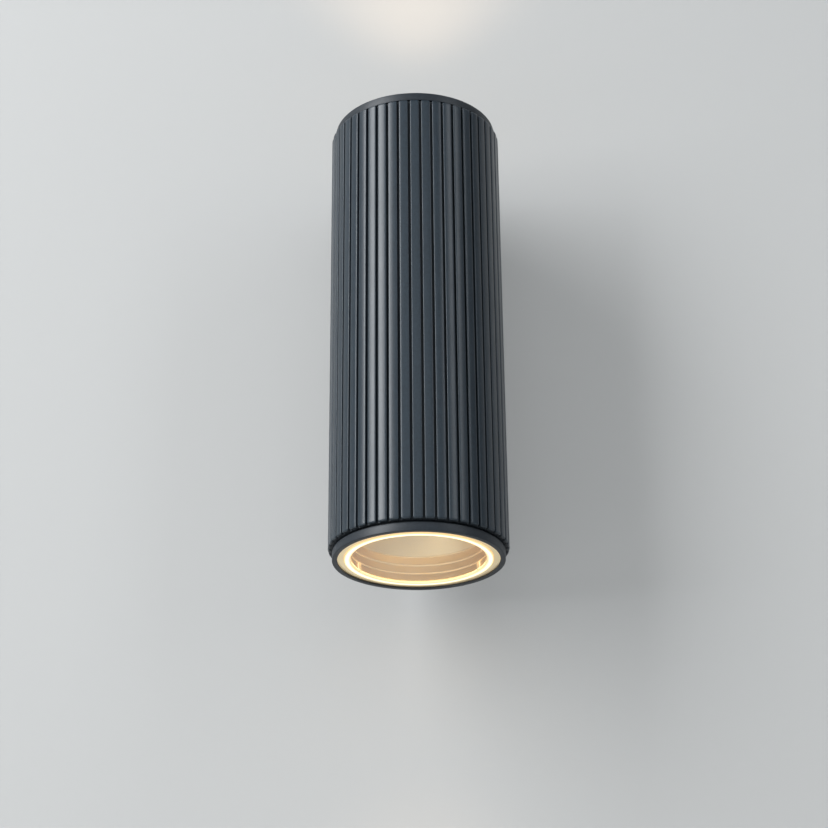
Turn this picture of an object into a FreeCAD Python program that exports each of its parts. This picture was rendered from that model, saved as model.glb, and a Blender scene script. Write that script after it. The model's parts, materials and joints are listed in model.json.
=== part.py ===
"""Ribbed tube wall light with one lamp shining down and one shining up.

Frame: +Z up, +X to the viewer's right, the front faces -Y and the wall is the plane Y = 0.
The origin is the centre of the wall plate's back face. All sizes are in millimetres.
"""
import FreeCAD
import Part
import math
import os

V = FreeCAD.Vector

# Overall
LIGHT_HEIGHT = 245.5
RIB_CREST_R = 45.0
WALL_GAP = 22.0

# Ribbed tube
RIB_COUNT = 48
GROOVE_WIDTH = 0.9
GROOVE_DEPTH = 2.0
RIB_CROWN_R = 16.0
RIB_END_CHAMFER = 0.8
RIB_END_TAPER = 1.0
TUBE_WALL = 3.5
END_BORE_DEPTH = 34.0
BACK_LAND_WALL = 3.5
BACK_FLAT_DEPTH = 4.0

# Threaded end ring
BEZEL_INSET = 2.1
BEZEL_HEIGHT = 4.4
BEZEL_RIM = 2.57
BEZEL_LIP = 0.9
BEZEL_EDGE = 0.35
SHADOW_GAP = 1.1
NECK_STEP = 1.9
THREAD_TRAVEL = 2.0

# Lens
FLANGE_BAND = 3.48
LENS_RIM_WIDTH = 3.15
LENS_RIM_HEIGHT = 2.5
LENS_RECESS = 0.5
LENS_DISC = 2.0
LENS_DISC_STEP = 0.4
LENS_BEVEL = 0.4
LEG_COUNT = 3
LEG_THICKNESS = 1.2
LEG_WIDTH = 1.6
LEG_HEIGHT = 4.1
LEG_SETBACK = 0.2
LEG_ROOT = 0.5
HOOK_REACH = 0.8
HOOK_HEIGHT = 1.0

# Reflector
SHEET = 0.8
MOUTH_DEPTH = 2.1
BAFFLE_HEIGHTS = (4.3, 4.0, 4.4)
BAFFLE_STEP = 0.8
CONE_HEIGHT = 13.2
COLLAR_HEIGHT = 3.0

# Lamp
LAMP_R = 25.0
LAMP_DEPTH = 30.0
LAMP_RIM = 4.0
LAMP_TAPER = 26.0
LAMP_WAIST_R = 17.0
LAMP_SHOULDER = 4.0
LAMP_CAP_R = 13.5
LAMP_CAP_HEIGHT = 13.0
LAMP_WALL = 1.6
LAMP_LENS = 2.5
LAMP_CUP = 14.0
LAMP_BOARD = 1.2
PIN_SPACING = 10.0
PIN_SHANK_R = 1.6
PIN_SHANK = 4.0
PIN_HEAD_R = 2.5
PIN_HEAD = 3.0
TWIST_ANGLE = 30.0

# Lampholder
HOLDER_R = 14.0
HOLDER_HEIGHT = 22.4
CONTACT = 0.8
HOLDER_SCREW_SPACING = 18.0
HOLDER_SCREW_LENGTH = 8.0

# Chassis
CHASSIS_SHEET = 1.5
CHASSIS_WIDTH = 22.0
CHASSIS_REACH = 16.0
CHASSIS_BEND = 1.5
TUBE_SCREW_SPACING = 28.0

# Back box
BOX_WIDTH = 36.0
BOX_HEIGHT = 100.0
BOX_WALL = 2.5
BOX_FRONT = 3.0
BOX_CORNER = 5.0
WALL_GASKET = 1.5
BOX_SCREW_FROM_WALL = 10.0

# Wall plate
PLATE = 2.0
PLATE_WIDTH = 27.0
PLATE_TAB_WIDTH = 16.0
PLATE_TAB_DEPTH = 16.0
WALL_SCREW_SPACING = 70.0
WALL_SCREW_HOLE_R = 2.6
CABLE_HOLE_R = 8.0
CABLE_HOLE_HEIGHT = 16.0
CABLE_BORE_R = 4.5

# Terminal block
POLE_COUNT = 3
POLE_PITCH = 9.5
TERMINAL_HEIGHT = 17.0
TERMINAL_DEPTH = 14.0
TERMINAL_BELOW = 20.0
SLEEVE_LENGTH = 11.0
SLEEVE_WALL = 0.6
FUNNEL_R = 2.3

# Leads and grommets
EARTH_BARREL = 6.0
EARTH_EDGE = 1.2
LEAD_R = 1.0
LEAD_SETBACK = 12.0
LEAD_RISE = 0.4
LEAD_ROW = 2.2
LEAD_COLUMN = 1.6
EARTH_COLUMN = 3.0
LEAD_IN_FUNNEL = 3.0
GROMMET_BORE_R = 4.5
GROMMET_WALL = 1.5
GROMMET_FLANGE = 2.0
GROMMET_LIP = 1.2

# Screws
M4_R = 2.0
M4_HEAD_R = 3.8
M4_HEAD = 2.2
M3_R = 1.5
M3_HEAD_R = 2.8
M3_HEAD = 1.8
DRIVE_SHARE = 0.5
DRIVE_DEPTH_SHARE = 0.6

# Clearances
THREAD_CLEARANCE = 0.08
SCREW_CLEARANCE = 0.25
THREAD_FIT = 0.05
RUNNING_GAP = 0.1
SEAT_GAP = 0.3
SLOT_GAP = 0.25
PLATE_GAP = 0.3

# Places that follow from the sizes above
HALF = LIGHT_HEIGHT / 2
AXIS_Y = -(WALL_GAP + RIB_CREST_R)
FLOOR_R = RIB_CREST_R - GROOVE_DEPTH
NECK_R = FLOOR_R - NECK_STEP
BEZEL_R = RIB_CREST_R - BEZEL_INSET
BEZEL_OPENING_R = BEZEL_R - BEZEL_RIM
LENS_R = BEZEL_OPENING_R - FLANGE_BAND
BORE_R = FLOOR_R - TUBE_WALL
FLAT_Y = AXIS_Y + RIB_CREST_R - BACK_FLAT_DEPTH
LAND_Y = FLAT_Y - BACK_LAND_WALL
RIB_WIDTH = 2 * math.pi * RIB_CREST_R / RIB_COUNT - GROOVE_WIDTH
RIB_END = BEZEL_HEIGHT + SHADOW_GAP
NECK_END = BEZEL_HEIGHT - THREAD_TRAVEL
FLANGE_BOTTOM = BEZEL_LIP + RUNNING_GAP
FLANGE_TOP = FLANGE_BOTTOM + SHEET
MOUTH_R = LENS_R + RUNNING_GAP
MOUTH_TOP = FLANGE_BOTTOM + MOUTH_DEPTH
RIM_TOP = LENS_RECESS + LENS_RIM_HEIGHT
RIM_INNER_R = LENS_R - LENS_RIM_WIDTH
LEG_OUTER_R = RIM_INNER_R + LEG_THICKNESS - RUNNING_GAP
LAMP_BASE = LAMP_DEPTH + LAMP_RIM + LAMP_TAPER + LAMP_SHOULDER + LAMP_CAP_HEIGHT
HOLDER_FACE = LAMP_BASE + SEAT_GAP
HOLDER_BACK = HOLDER_FACE + HOLDER_HEIGHT
PIN_TIP = LAMP_BASE + PIN_SHANK + PIN_HEAD
LEDGE = LAMP_BASE + PIN_SHANK - SLOT_GAP
SOCKET_FLOOR = PIN_TIP + SEAT_GAP + CONTACT
CHASSIS_HALF = HALF - HOLDER_BACK
CHASSIS_Y = LAND_Y - CHASSIS_SHEET
BOX_FACE_Y = FLAT_Y + BOX_FRONT
BOX_HALF = BOX_HEIGHT / 2
PLATE_HALF = BOX_HALF - BOX_WALL - PLATE_GAP
GROMMET_R = GROMMET_BORE_R + GROMMET_WALL
TERMINAL_Y = -PLATE - TERMINAL_DEPTH / 2
TERMINAL_TOP = -TERMINAL_BELOW + TERMINAL_HEIGHT / 2


# Plain shapes

def level(h):
    """Height in the row frame of a point h above the light's lower rim."""
    return h - HALF


def cylinder(r, z0, z1, x=0.0, y=AXIS_Y):
    """Upright cylinder between two heights."""
    return Part.makeCylinder(r, z1 - z0, V(x, y, z0))


def rod(r, start, end):
    """Cylinder from one point to another."""
    return Part.makeCylinder(r, (end - start).Length, start, end - start)


def brick(x0, x1, y0, y1, z0, z1):
    """Box between two corners."""
    return Part.makeBox(x1 - x0, y1 - y0, z1 - z0, V(x0, y0, z0))


def spun(outline):
    """Solid of revolution about the tube's axis, from (radius, height over the lower rim) corners."""
    corners = [V(r, AXIS_Y, level(h)) for r, h in outline]
    face = Part.Face(Part.makePolygon(corners + corners[:1]))
    return face.revolve(V(0, AXIS_Y, 0), V(0, 0, 1), 360)


def about_axis(shape, degrees):
    """Copy of a shape turned about the tube's axis."""
    copy = shape.copy()
    copy.rotate(V(0, AXIS_Y, 0), V(0, 0, 1), degrees)
    return copy


def upper(shape):
    """The same part fitted at the other end: half a turn about the line square to the wall."""
    copy = shape.copy()
    copy.rotate(V(0, 0, 0), V(0, 1, 0), 180)
    return copy


def screw(seat, direction, length, shank_r, head_r, head):
    """Screw with a hexagon socket: seat is the point under its head, direction points to its tip."""
    d = V(direction)
    d.normalize()
    top = seat - d * head
    body = rod(shank_r, seat, seat + d * length).fuse(rod(head_r, top, seat))
    socket_r = head_r * DRIVE_SHARE
    side = V(0, 0, 1) if abs(d.z) < 0.5 else V(0, 1, 0)
    arm = side * socket_r
    corners = []
    for i in range(6):
        corner = FreeCAD.Rotation(d, 60 * i).multVec(arm)
        corners.append(top + corner)
    hexagon = Part.Face(Part.makePolygon(corners + corners[:1]))
    return body.cut(hexagon.extrude(d * (head * DRIVE_DEPTH_SHARE)))


def lead(points):
    """Round lead along straight runs joined by tangent arcs."""
    edges = []
    here = points[0]
    for before, corner, after in zip(points, points[1:], points[2:]):
        u = corner - before
        w = after - corner
        run = 0.45 * min(u.Length, w.Length)
        u.normalize()
        w.normalize()
        start = corner - u * run
        end = corner + w * run
        half_turn = u.getAngle(w) / 2
        radius = run / math.tan(half_turn)
        inward = w - u
        inward.normalize()
        middle = corner + inward * (radius / math.cos(half_turn) - radius)
        edges.append(Part.LineSegment(here, start).toShape())
        edges.append(Part.Arc(start, middle, end).toShape())
        here = end
        print("lead bend radius %.1f mm" % radius)
    edges.append(Part.LineSegment(here, points[-1]).toShape())
    path = Part.Wire(edges)
    ring = Part.Wire([Part.makeCircle(LEAD_R, points[0], points[1] - points[0])])
    return path.makePipeShell([ring], True, True)


# Ribbed tube

def rib_section(z, crest_r, rib_width):
    """Closed outline of the ribs at one height. The first rib faces the front."""
    pitch = 2 * math.pi / RIB_COUNT
    half = rib_width / 2
    shoulder = crest_r - RIB_CROWN_R + math.sqrt(RIB_CROWN_R ** 2 - half ** 2)
    foot = math.sqrt(FLOOR_R ** 2 - half ** 2)

    def at(angle, along, out):
        c, s = math.cos(angle), math.sin(angle)
        return V(out * c - along * s, AXIS_Y + out * s + along * c, z)

    edges = []
    for i in range(RIB_COUNT):
        angle = i * pitch - math.pi / 2
        left_foot = at(angle, -half, foot)
        left = at(angle, -half, shoulder)
        crest = at(angle, 0, crest_r)
        right = at(angle, half, shoulder)
        right_foot = at(angle, half, foot)
        groove = at(angle + pitch / 2, 0, FLOOR_R)
        next_foot = at(angle + pitch, -half, foot)
        edges.append(Part.LineSegment(left_foot, left).toShape())
        edges.append(Part.Arc(left, crest, right).toShape())
        edges.append(Part.LineSegment(right, right_foot).toShape())
        edges.append(Part.Arc(right_foot, groove, next_foot).toShape())
    return Part.Wire(edges)


def fluted_tube():
    """Extruded tube: ribs outside, a flat land inside at the back, ends turned down to threaded necks."""
    low = level(RIB_END)
    full_low = low + RIB_END_TAPER
    end_crest = RIB_CREST_R - RIB_END_CHAMFER
    end_width = RIB_WIDTH - 2 * RIB_END_CHAMFER
    section = rib_section(full_low, RIB_CREST_R, RIB_WIDTH)
    tube = Part.Face(section).extrude(V(0, 0, -2 * full_low))
    for side in (1, -1):
        root = rib_section(side * full_low, RIB_CREST_R, RIB_WIDTH)
        tip = rib_section(side * low, end_crest, end_width)
        tube = tube.fuse(Part.makeLoft([root, tip], True, True))
    neck = level(NECK_END)
    tube = tube.fuse(cylinder(NECK_R, neck, -neck))
    bored = level(END_BORE_DEPTH)
    bore = cylinder(BORE_R, bored, -bored)
    bore = bore.common(brick(-BORE_R, BORE_R, AXIS_Y - BORE_R, LAND_Y, bored, -bored))
    bore = bore.fuse(cylinder(BORE_R, neck, bored))
    bore = bore.fuse(cylinder(BORE_R, -bored, -neck))
    tube = tube.cut(bore)
    flat = BOX_HALF + PLATE_GAP
    tube = tube.cut(brick(-RIB_CREST_R, RIB_CREST_R, FLAT_Y, 0, -flat, flat))
    for z in tube_screw_heights():
        tube = tube.cut(rod(M4_R + SCREW_CLEARANCE, V(0, LAND_Y, z), V(0, FLAT_Y, z)))
    return tube.cut(rod(GROMMET_R, V(0, LAND_Y, 0), V(0, FLAT_Y, 0)))


def tube_screw_heights():
    """Heights of the two screws through back box, tube and chassis."""
    return (-TUBE_SCREW_SPACING / 2, TUBE_SCREW_SPACING / 2)


# Lower end: ring, lens, reflector, seal. The upper end has the same parts.

def bezel():
    """Turned ring with a front lip and a fine thread inside, drawn as its plain pitch cylinder."""
    inner = NECK_R + THREAD_CLEARANCE
    return spun([
        (BEZEL_OPENING_R, 0), (BEZEL_R - BEZEL_EDGE, 0), (BEZEL_R, BEZEL_EDGE),
        (BEZEL_R, BEZEL_HEIGHT - BEZEL_EDGE / 2), (BEZEL_R - BEZEL_EDGE / 2, BEZEL_HEIGHT),
        (inner, BEZEL_HEIGHT), (inner, BEZEL_LIP), (BEZEL_OPENING_R, BEZEL_LIP)])


def leg_angles():
    """Directions of the lens legs: one at the front, the others evenly round."""
    return [i * 360 / LEG_COUNT - 90 for i in range(LEG_COUNT)]


def hook_heights():
    """Lower and upper face of the hooks on the lens legs."""
    top = RIM_TOP + LEG_HEIGHT - LEG_THICKNESS / 3
    return top - HOOK_HEIGHT, top


def lens():
    """Clear moulded lens: a flat disc in a thick bevelled rim, with hooked legs on top."""
    disc_low = LENS_RECESS + LENS_DISC_STEP
    shape = spun([
        (0, disc_low), (RIM_INNER_R, disc_low), (RIM_INNER_R + LENS_DISC_STEP, LENS_RECESS),
        (LENS_R - LENS_BEVEL, LENS_RECESS), (LENS_R, LENS_RECESS + LENS_BEVEL),
        (LENS_R, RIM_TOP), (RIM_INNER_R, RIM_TOP),
        (RIM_INNER_R - LENS_DISC_STEP, disc_low + LENS_DISC), (0, disc_low + LENS_DISC)])
    half = LEG_WIDTH / 2
    hook_low, hook_top = hook_heights()
    inner = RIM_INNER_R + LEG_SETBACK
    leg = brick(inner, LEG_OUTER_R, AXIS_Y - half, AXIS_Y + half,
                level(RIM_TOP - LEG_ROOT), level(RIM_TOP + LEG_HEIGHT))
    hook = brick(inner, LEG_OUTER_R + HOOK_REACH, AXIS_Y - half, AXIS_Y + half,
                 level(hook_low), level(hook_top))
    for angle in leg_angles():
        shape = shape.fuse(about_axis(leg.fuse(hook), angle))
    return shape.removeSplitter()


def reflector_path():
    """Inner corners (radius, height) of the reflector from its mouth to the collar round the lamp."""
    r = RIM_INNER_R + LEG_THICKNESS
    h = MOUTH_TOP
    path = [(MOUTH_R, FLANGE_BOTTOM), (MOUTH_R, h), (r, h)]
    for rise in BAFFLE_HEIGHTS:
        h += rise
        path.append((r, h))
        r -= BAFFLE_STEP
        path.append((r, h))
    collar_r = LAMP_R + SEAT_GAP * 2
    h += CONE_HEIGHT
    path.append((collar_r, h))
    path.append((collar_r, h + COLLAR_HEIGHT))
    return path


def reflector():
    """Spun sheet reflector: flange, lens mouth, three steps, cone and collar."""
    flange_r = NECK_R - RUNNING_GAP
    inside = reflector_path()
    outside = [(r + SHEET, h + SHEET) for r, h in inside[1:-1]]
    collar_r, collar_top = inside[-1]
    outside.append((collar_r + SHEET, collar_top))
    outline = [(flange_r, FLANGE_BOTTOM)] + inside + outside[::-1]
    outline += [(MOUTH_R + SHEET, FLANGE_TOP), (flange_r, FLANGE_TOP)]
    shape = spun(outline)
    half = LEG_WIDTH / 2 + RUNNING_GAP * 3
    hook_low, hook_top = hook_heights()
    window = brick(LEG_OUTER_R, LEG_OUTER_R + HOOK_REACH + SHEET, AXIS_Y - half, AXIS_Y + half,
                   level(hook_low - RUNNING_GAP), level(hook_top + RUNNING_GAP))
    for angle in leg_angles():
        shape = shape.cut(about_axis(window, angle))
    return shape


def seal():
    """Flat silicone ring between the reflector's flange and the end of the tube's neck."""
    inner = BORE_R + RUNNING_GAP
    outer = NECK_R - RUNNING_GAP
    return spun([(inner, FLANGE_TOP), (outer, FLANGE_TOP), (outer, NECK_END), (inner, NECK_END)])


# Lamp with a twist-and-lock base

def lamp_body():
    """Hollow lamp housing: front rim, tapering cup, shoulder and cap."""
    rim_top = LAMP_DEPTH + LAMP_RIM
    waist = rim_top + LAMP_TAPER
    cap = waist + LAMP_SHOULDER
    seat = LAMP_DEPTH + LAMP_LENS + LAMP_WALL / 2
    floor = LAMP_DEPTH + LAMP_CUP
    slope = (LAMP_R - LAMP_WAIST_R) / LAMP_TAPER
    cup_r = LAMP_R - slope * (floor - rim_top) - LAMP_WALL
    return spun([
        (LAMP_R - LAMP_WALL, LAMP_DEPTH), (LAMP_R, LAMP_DEPTH), (LAMP_R, rim_top),
        (LAMP_WAIST_R, waist), (LAMP_CAP_R, cap), (LAMP_CAP_R, LAMP_BASE), (0, LAMP_BASE),
        (0, floor), (cup_r - LAMP_WALL, floor), (LAMP_R - 2 * LAMP_WALL, seat),
        (LAMP_R - LAMP_WALL, seat)])


def lamp_lens():
    """Clear front of the lamp, seated on the step inside its rim."""
    low = LAMP_DEPTH + LAMP_WALL / 2
    return cylinder(LAMP_R - LAMP_WALL - RUNNING_GAP, level(low), level(low + LAMP_LENS))


def lamp_board():
    """Round board with the light source on the floor of the cup."""
    floor = LAMP_DEPTH + LAMP_CUP
    slope = (LAMP_R - LAMP_WAIST_R) / LAMP_TAPER
    cup_r = LAMP_R - slope * (LAMP_CUP - LAMP_RIM) - 2 * LAMP_WALL
    board = cylinder(cup_r - RUNNING_GAP, level(floor - LAMP_BOARD), level(floor))
    chip = cylinder(cup_r / 2, level(floor - 2 * LAMP_BOARD), level(floor - LAMP_BOARD))
    return board.fuse(chip)


def lamp_pins():
    """Two headed contact pins."""
    pins = []
    for side in (-1, 1):
        x = side * PIN_SPACING / 2
        neck = level(LAMP_BASE + PIN_SHANK)
        shank = cylinder(PIN_SHANK_R, level(LAMP_BASE), neck, x)
        head = cylinder(PIN_HEAD_R, neck, level(PIN_TIP), x)
        pins.append(shank.fuse(head))
    return Part.makeCompound(pins)


def arc_slot(half_width, h0, h1, degrees):
    """Curved slot round the tube's axis at the pins' radius, with round ends."""
    r = PIN_SPACING / 2
    outer = cylinder(r + half_width, level(h0), level(h1))
    inner = cylinder(r - half_width, level(h0), level(h1))
    reach = 2 * (r + half_width)
    corners = [V(0, AXIS_Y, level(h0)), V(reach, AXIS_Y, level(h0))]
    far = FreeCAD.Rotation(V(0, 0, 1), degrees).multVec(V(reach, 0, 0))
    corners.append(corners[0] + far)
    wedge = Part.Face(Part.makePolygon(corners + corners[:1])).extrude(V(0, 0, h1 - h0))
    slot = outer.cut(inner).common(wedge)
    end = cylinder(half_width, level(h0), level(h1), r)
    return slot.fuse(end).fuse(about_axis(end, degrees))


def lampholder():
    """Ceramic holder: the pins enter at one end of the curved slots and lock at the other."""
    body = cylinder(HOLDER_R, level(HOLDER_FACE), level(HOLDER_BACK))
    slot = arc_slot(PIN_SHANK_R + SLOT_GAP, HOLDER_FACE, LEDGE, -TWIST_ANGLE)
    cavity = arc_slot(PIN_HEAD_R + SLOT_GAP, LEDGE, SOCKET_FLOOR, -TWIST_ANGLE)
    entry = cylinder(PIN_HEAD_R + SLOT_GAP, level(HOLDER_FACE), level(LEDGE), PIN_SPACING / 2)
    passage = cylinder(LEAD_R + SLOT_GAP, level(SOCKET_FLOOR), level(HOLDER_BACK), PIN_SPACING / 2)
    hollow = slot.fuse([cavity, about_axis(entry, -TWIST_ANGLE), passage])
    for turn in (0, 180):
        body = body.cut(about_axis(hollow, turn))
    for y in holder_screw_places():
        blind = level(HOLDER_BACK) - HOLDER_SCREW_LENGTH
        body = body.cut(cylinder(M3_R + THREAD_FIT, blind, level(HOLDER_BACK), 0, y))
    return body


def contacts():
    """Two brass contacts on the floors of the sockets."""
    half = PIN_HEAD_R * 0.6
    pair = []
    for side in (-1, 1):
        x = side * PIN_SPACING / 2
        low = level(SOCKET_FLOOR - CONTACT)
        pair.append(brick(x - half, x + half, AXIS_Y - half, AXIS_Y + half, low, level(SOCKET_FLOOR)))
    return Part.makeCompound(pair)


def holder_screw_places():
    """Depths of the two screws that fix each holder to the chassis."""
    return (AXIS_Y - HOLDER_SCREW_SPACING / 2, AXIS_Y + HOLDER_SCREW_SPACING / 2)


def holder_screws():
    """Two screws up through the chassis into the lower holder."""
    seat = level(HOLDER_BACK) + CHASSIS_SHEET
    length = HOLDER_SCREW_LENGTH + CHASSIS_SHEET - RUNNING_GAP
    pair = [screw(V(0, y, seat), V(0, 0, -1), length, M3_R, M3_HEAD_R, M3_HEAD)
            for y in holder_screw_places()]
    return Part.makeCompound(pair)


# Chassis and fixings

def chassis():
    """Folded steel bracket: an upright web on the tube's land and a shelf for each holder."""
    shelf_tip = AXIS_Y - CHASSIS_REACH
    outer_r = CHASSIS_BEND + CHASSIS_SHEET

    def folded(depth, half, back, bend):
        z0, z1 = -half, half
        diagonal = bend * (1 - math.sqrt(0.5))
        edges = [
            Part.LineSegment(V(0, depth, z0), V(0, back - bend, z0)),
            Part.Arc(V(0, back - bend, z0), V(0, back - diagonal, z0 + diagonal), V(0, back, z0 + bend)),
            Part.LineSegment(V(0, back, z0 + bend), V(0, back, z1 - bend)),
            Part.Arc(V(0, back, z1 - bend), V(0, back - diagonal, z1 - diagonal), V(0, back - bend, z1)),
            Part.LineSegment(V(0, back - bend, z1), V(0, depth, z1)),
            Part.LineSegment(V(0, depth, z1), V(0, depth, z0))]
        wire = Part.Wire([edge.toShape() for edge in edges])
        face = Part.Face(wire)
        face.translate(V(-CHASSIS_WIDTH / 2, 0, 0))
        return face.extrude(V(CHASSIS_WIDTH, 0, 0))

    shape = folded(shelf_tip, CHASSIS_HALF, LAND_Y, outer_r)
    hollow = folded(shelf_tip, CHASSIS_HALF - CHASSIS_SHEET, CHASSIS_Y, CHASSIS_BEND)
    shape = shape.cut(hollow)
    for side in (-1, 1):
        z0 = side * CHASSIS_HALF
        z1 = side * (CHASSIS_HALF - CHASSIS_SHEET)
        for y in holder_screw_places():
            shape = shape.cut(rod(M3_R + SCREW_CLEARANCE, V(0, y, z0), V(0, y, z1)))
        for x in (-PIN_SPACING / 2, PIN_SPACING / 2):
            shape = shape.cut(rod(LEAD_R + SCREW_CLEARANCE * 2, V(x, AXIS_Y, z0), V(x, AXIS_Y, z1)))
    for z in tube_screw_heights():
        shape = shape.cut(rod(M4_R + THREAD_FIT, V(0, CHASSIS_Y, z), V(0, LAND_Y, z)))
    shape = shape.cut(rod(GROMMET_R, V(0, CHASSIS_Y, 0), V(0, LAND_Y, 0)))
    x, y = earth_place()
    floor = -CHASSIS_HALF
    return shape.cut(rod(M4_R + THREAD_FIT, V(x, y, floor), V(x, y, floor + CHASSIS_SHEET)))


def tube_screws():
    """Two screws from inside the back box, through the tube, into the chassis web."""
    length = BOX_FACE_Y - CHASSIS_Y + CHASSIS_SHEET
    pair = [screw(V(0, BOX_FACE_Y, z), V(0, -1, 0), length, M4_R, M4_HEAD_R, M4_HEAD)
            for z in tube_screw_heights()]
    return Part.makeCompound(pair)


def earth_place():
    """Place of the earth screw on the chassis's lower shelf."""
    return CHASSIS_WIDTH / 2 - M4_HEAD_R - EARTH_EDGE, AXIS_Y + HOLDER_SCREW_SPACING


def earth_tag():
    """Brass ring terminal with an upright barrel for the lead."""
    x, y = earth_place()
    z = -CHASSIS_HALF + CHASSIS_SHEET
    eye = M4_HEAD_R + SEAT_GAP
    tail = M4_HEAD_R * 2
    plate = cylinder(eye, z, z + SHEET, x, y)
    plate = plate.fuse(brick(x - eye / 2, x + eye / 2, y, y + tail, z, z + SHEET))
    plate = plate.cut(cylinder(M4_R + SCREW_CLEARANCE, z, z + SHEET, x, y))
    barrel_y = y + tail - LEAD_R - SHEET
    barrel = cylinder(LEAD_R + SHEET, z, z + SHEET + EARTH_BARREL, x, barrel_y)
    bore = cylinder(LEAD_R, z + SHEET, z + SHEET + EARTH_BARREL, x, barrel_y)
    return plate.fuse(barrel).cut(bore)


def earth_screw():
    """Screw that holds the ring terminal on the shelf."""
    x, y = earth_place()
    z = -CHASSIS_HALF + CHASSIS_SHEET + SHEET
    return screw(V(x, y, z), V(0, 0, -1), SHEET + CHASSIS_SHEET, M4_R, M4_HEAD_R, M4_HEAD)


# Back box and wall plate

def rounded_slab(half_width, half_height, corner, y0, y1):
    """Upright slab with rounded corners, between two depths."""
    slab = brick(-half_width, half_width, y0, y1, -half_height, half_height)
    edges = [e for e in slab.Edges if abs(e.tangentAt(e.FirstParameter).y) > 0.9]
    return slab.makeFillet(corner, edges)


def mount_box():
    """Cast back box, open towards the wall."""
    half = BOX_WIDTH / 2
    box = rounded_slab(half, BOX_HALF, BOX_CORNER, FLAT_Y, -WALL_GASKET)
    hollow = rounded_slab(half - BOX_WALL, BOX_HALF - BOX_WALL, BOX_CORNER - BOX_WALL,
                          BOX_FACE_Y, 0)
    box = box.cut(hollow)
    for z in tube_screw_heights():
        box = box.cut(rod(M4_R + SCREW_CLEARANCE, V(0, FLAT_Y, z), V(0, BOX_FACE_Y, z)))
    box = box.cut(rod(GROMMET_R, V(0, FLAT_Y, 0), V(0, BOX_FACE_Y, 0)))
    y = -BOX_SCREW_FROM_WALL
    return box.cut(rod(M4_R + SCREW_CLEARANCE, V(0, y, -BOX_HALF), V(0, y, BOX_HALF)))


def wall_gasket():
    """Foam frame between the back box and the wall."""
    half = BOX_WIDTH / 2
    frame = rounded_slab(half, BOX_HALF, BOX_CORNER, -WALL_GASKET, 0)
    return frame.cut(rounded_slab(half - BOX_WALL, BOX_HALF - BOX_WALL, BOX_CORNER - BOX_WALL,
                                  -WALL_GASKET, 0))


def wall_plate():
    """Folded steel plate with two wall screw holes, a cable hole and a threaded tab at each end."""
    half = PLATE_WIDTH / 2
    plate = rounded_slab(half, PLATE_HALF, BOX_CORNER - BOX_WALL, -PLATE, 0)
    tab = PLATE_TAB_WIDTH / 2
    for side in (-1, 1):
        inner = side * (PLATE_HALF - PLATE)
        outer = side * PLATE_HALF
        plate = plate.fuse(brick(-tab, tab, -PLATE_TAB_DEPTH, 0, min(inner, outer), max(inner, outer)))
        z = side * WALL_SCREW_SPACING / 2
        plate = plate.cut(rod(WALL_SCREW_HOLE_R, V(0, -PLATE, z), V(0, 0, z)))
    y = -BOX_SCREW_FROM_WALL
    plate = plate.cut(rod(M4_R + THREAD_FIT, V(0, y, -PLATE_HALF), V(0, y, PLATE_HALF)))
    plate = plate.cut(rod(CABLE_HOLE_R, V(0, -PLATE, CABLE_HOLE_HEIGHT), V(0, 0, CABLE_HOLE_HEIGHT)))
    x = terminal_screw_x()
    z = -TERMINAL_BELOW
    return plate.cut(rod(M3_R + THREAD_FIT, V(x, -PLATE, z), V(x, 0, z))).removeSplitter()


def box_screws():
    """Two screws through the ends of the back box into the tabs of the wall plate."""
    pair = []
    for side in (-1, 1):
        seat = V(0, -BOX_SCREW_FROM_WALL, side * BOX_HALF)
        length = BOX_WALL + PLATE_GAP + PLATE * 2
        pair.append(screw(seat, V(0, 0, -side), length, M4_R, M4_HEAD_R, M4_HEAD))
    return Part.makeCompound(pair)


def grommet(bore_r, groove_r, y0, y1, back_lip, z):
    """Rubber sleeve along Y with a lip in front of the hole and one behind it."""
    flange_r = groove_r + GROMMET_FLANGE
    start = y0 - GROMMET_LIP
    end = y1 + back_lip
    body = rod(groove_r, V(0, start, z), V(0, end, z))
    body = body.fuse(rod(flange_r, V(0, start, z), V(0, y0, z)))
    if back_lip:
        body = body.fuse(rod(flange_r, V(0, y1, z), V(0, end, z)))
    return body.cut(rod(bore_r, V(0, start, z), V(0, end, z)))


def wire_grommet():
    """Sleeve through the chassis web, the tube and the front of the back box."""
    return grommet(GROMMET_BORE_R, GROMMET_R, CHASSIS_Y, BOX_FACE_Y, GROMMET_LIP, 0)


def cable_grommet():
    """Inlet for the supply cable in the wall plate, flush with the wall behind."""
    return grommet(CABLE_BORE_R, CABLE_HOLE_R, -PLATE, 0, 0, CABLE_HOLE_HEIGHT)


# Terminal block and leads

def pole_places():
    """Places of the poles across the terminal block."""
    middle = (POLE_COUNT - 1) / 2
    return [(i - middle) * POLE_PITCH for i in range(POLE_COUNT)]


def terminal_screw_x():
    """Place of the fixing screw, between two poles."""
    return pole_places()[-1] - POLE_PITCH / 2


def clamp_heights():
    """Heights of the two clamp screws on each pole."""
    return (-TERMINAL_BELOW - SLEEVE_LENGTH / 4, -TERMINAL_BELOW + SLEEVE_LENGTH / 4)


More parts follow.
